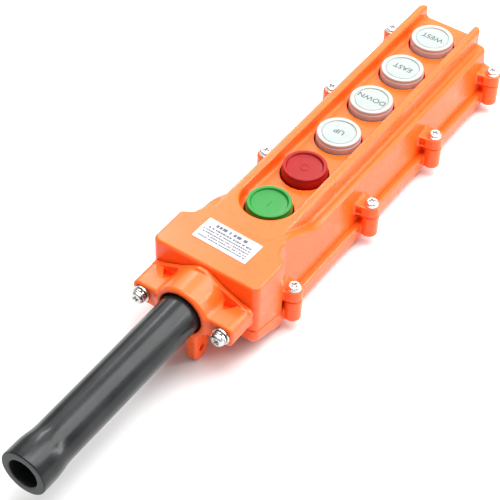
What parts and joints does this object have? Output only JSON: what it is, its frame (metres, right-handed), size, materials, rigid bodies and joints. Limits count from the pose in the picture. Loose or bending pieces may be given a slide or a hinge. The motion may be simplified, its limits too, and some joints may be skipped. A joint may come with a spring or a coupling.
{
  "type": "pendant control station",
  "caption": "Long orange hand-held hoist pendant with a row of push buttons between guard ridges, a bolted cable collar with a hanging eye, and a black rubber cable sleeve.",
  "frame": {"origin": "middle of the width and of the whole length, on the plane the flat rear cover lies on", "axes": "+X is the station's width, to the right when the cable points at you; +Y runs from the cable sleeve to the tip; +Z points out of the button face"},
  "size_m": [0.0784, 0.3926, 0.0511],
  "materials": {
    "orange_plastic": "glossy moulded ABS",
    "black_rubber": "satin moulded rubber",
    "green_button": "satin",
    "red_button": "satin",
    "white_button": "satin, slightly translucent",
    "white_label": "printed film",
    "zinc_steel": "bright zinc plate",
    "spring_steel": "drawn wire",
    "contact_brass": "stamped strip",
    "grey_plastic": "moulded",
    "white_plastic": "moulded"
  },
  "bodies": {
    "station": {"front_cover": "orange_plastic", "rear_cover": "orange_plastic", "cover_gasket": "black_rubber", "label_plate": "white_label", "cable_collar": "orange_plastic", "cable_sleeve": "black_rubber", "cover_screw_left_1": "zinc_steel", "cover_screw_left_2": "zinc_steel", "cover_screw_left_3": "zinc_steel", "cover_screw_left_4": "zinc_steel", "flat_washer_left": "zinc_steel", "spring_washer_left": "zinc_steel", "collar_screw_left": "zinc_steel", "clamp_screw_left": "zinc_steel", "cover_screw_right_1": "zinc_steel", "cover_screw_right_2": "zinc_steel", "cover_screw_right_3": "zinc_steel", "cover_screw_right_4": "zinc_steel", "flat_washer_right": "zinc_steel", "spring_washer_right": "zinc_steel", "collar_screw_right": "zinc_steel", "clamp_screw_right": "zinc_steel", "cable_clamp": "grey_plastic", "start_return_spring": "spring_steel", "start_button_seal": "black_rubber", "stop_return_spring": "spring_steel", "stop_button_seal": "black_rubber", "up_return_spring": "spring_steel", "up_button_seal": "black_rubber", "down_return_spring": "spring_steel", "down_button_seal": "black_rubber", "east_return_spring": "spring_steel", "east_button_seal": "black_rubber", "west_return_spring": "spring_steel", "west_button_seal": "black_rubber", "contact_block_1": "grey_plastic", "contact_block_2": "grey_plastic", "contact_block_3": "grey_plastic"},
    "start_button": {"start_button_cap": "green_button", "start_plunger": "white_plastic", "start_contact_bridge": "contact_brass"},
    "stop_button": {"stop_button_cap": "red_button", "stop_plunger": "white_plastic", "stop_contact_bridge": "contact_brass"},
    "up_button": {"up_button_cap": "white_button", "up_plunger": "white_plastic", "up_contact_bridge": "contact_brass"},
    "down_button": {"down_button_cap": "white_button", "down_plunger": "white_plastic", "down_contact_bridge": "contact_brass"},
    "east_button": {"east_button_cap": "white_button", "east_plunger": "white_plastic", "east_contact_bridge": "contact_brass"},
    "west_button": {"west_button_cap": "white_button", "west_plunger": "white_plastic", "west_contact_bridge": "contact_brass"}
  },
  "joints": [
    {"name": "press_start", "type": "slide", "parent": "station", "child": "start_button", "axis": [0, 0, -1], "range_m": [0, 0.0045], "stiffness_N_per_m": 500, "springref_m": -0.006, "deforming": ["start_return_spring"]},
    {"name": "press_stop", "type": "slide", "parent": "station", "child": "stop_button", "axis": [0, 0, -1], "range_m": [0, 0.0045], "stiffness_N_per_m": 500, "springref_m": -0.006, "deforming": ["stop_return_spring"]},
    {"name": "press_up", "type": "slide", "parent": "station", "child": "up_button", "axis": [0, 0, -1], "range_m": [0, 0.0045], "stiffness_N_per_m": 500, "springref_m": -0.006, "deforming": ["up_return_spring"]},
    {"name": "press_down", "type": "slide", "parent": "station", "child": "down_button", "axis": [0, 0, -1], "range_m": [0, 0.0045], "stiffness_N_per_m": 500, "springref_m": -0.006, "deforming": ["down_return_spring"]},
    {"name": "press_east", "type": "slide", "parent": "station", "child": "east_button", "axis": [0, 0, -1], "range_m": [0, 0.0045], "stiffness_N_per_m": 500, "springref_m": -0.006, "deforming": ["east_return_spring"]},
    {"name": "press_west", "type": "slide", "parent": "station", "child": "west_button", "axis": [0, 0, -1], "range_m": [0, 0.0045], "stiffness_N_per_m": 500, "springref_m": -0.006, "deforming": ["west_return_spring"]}
  ]
}
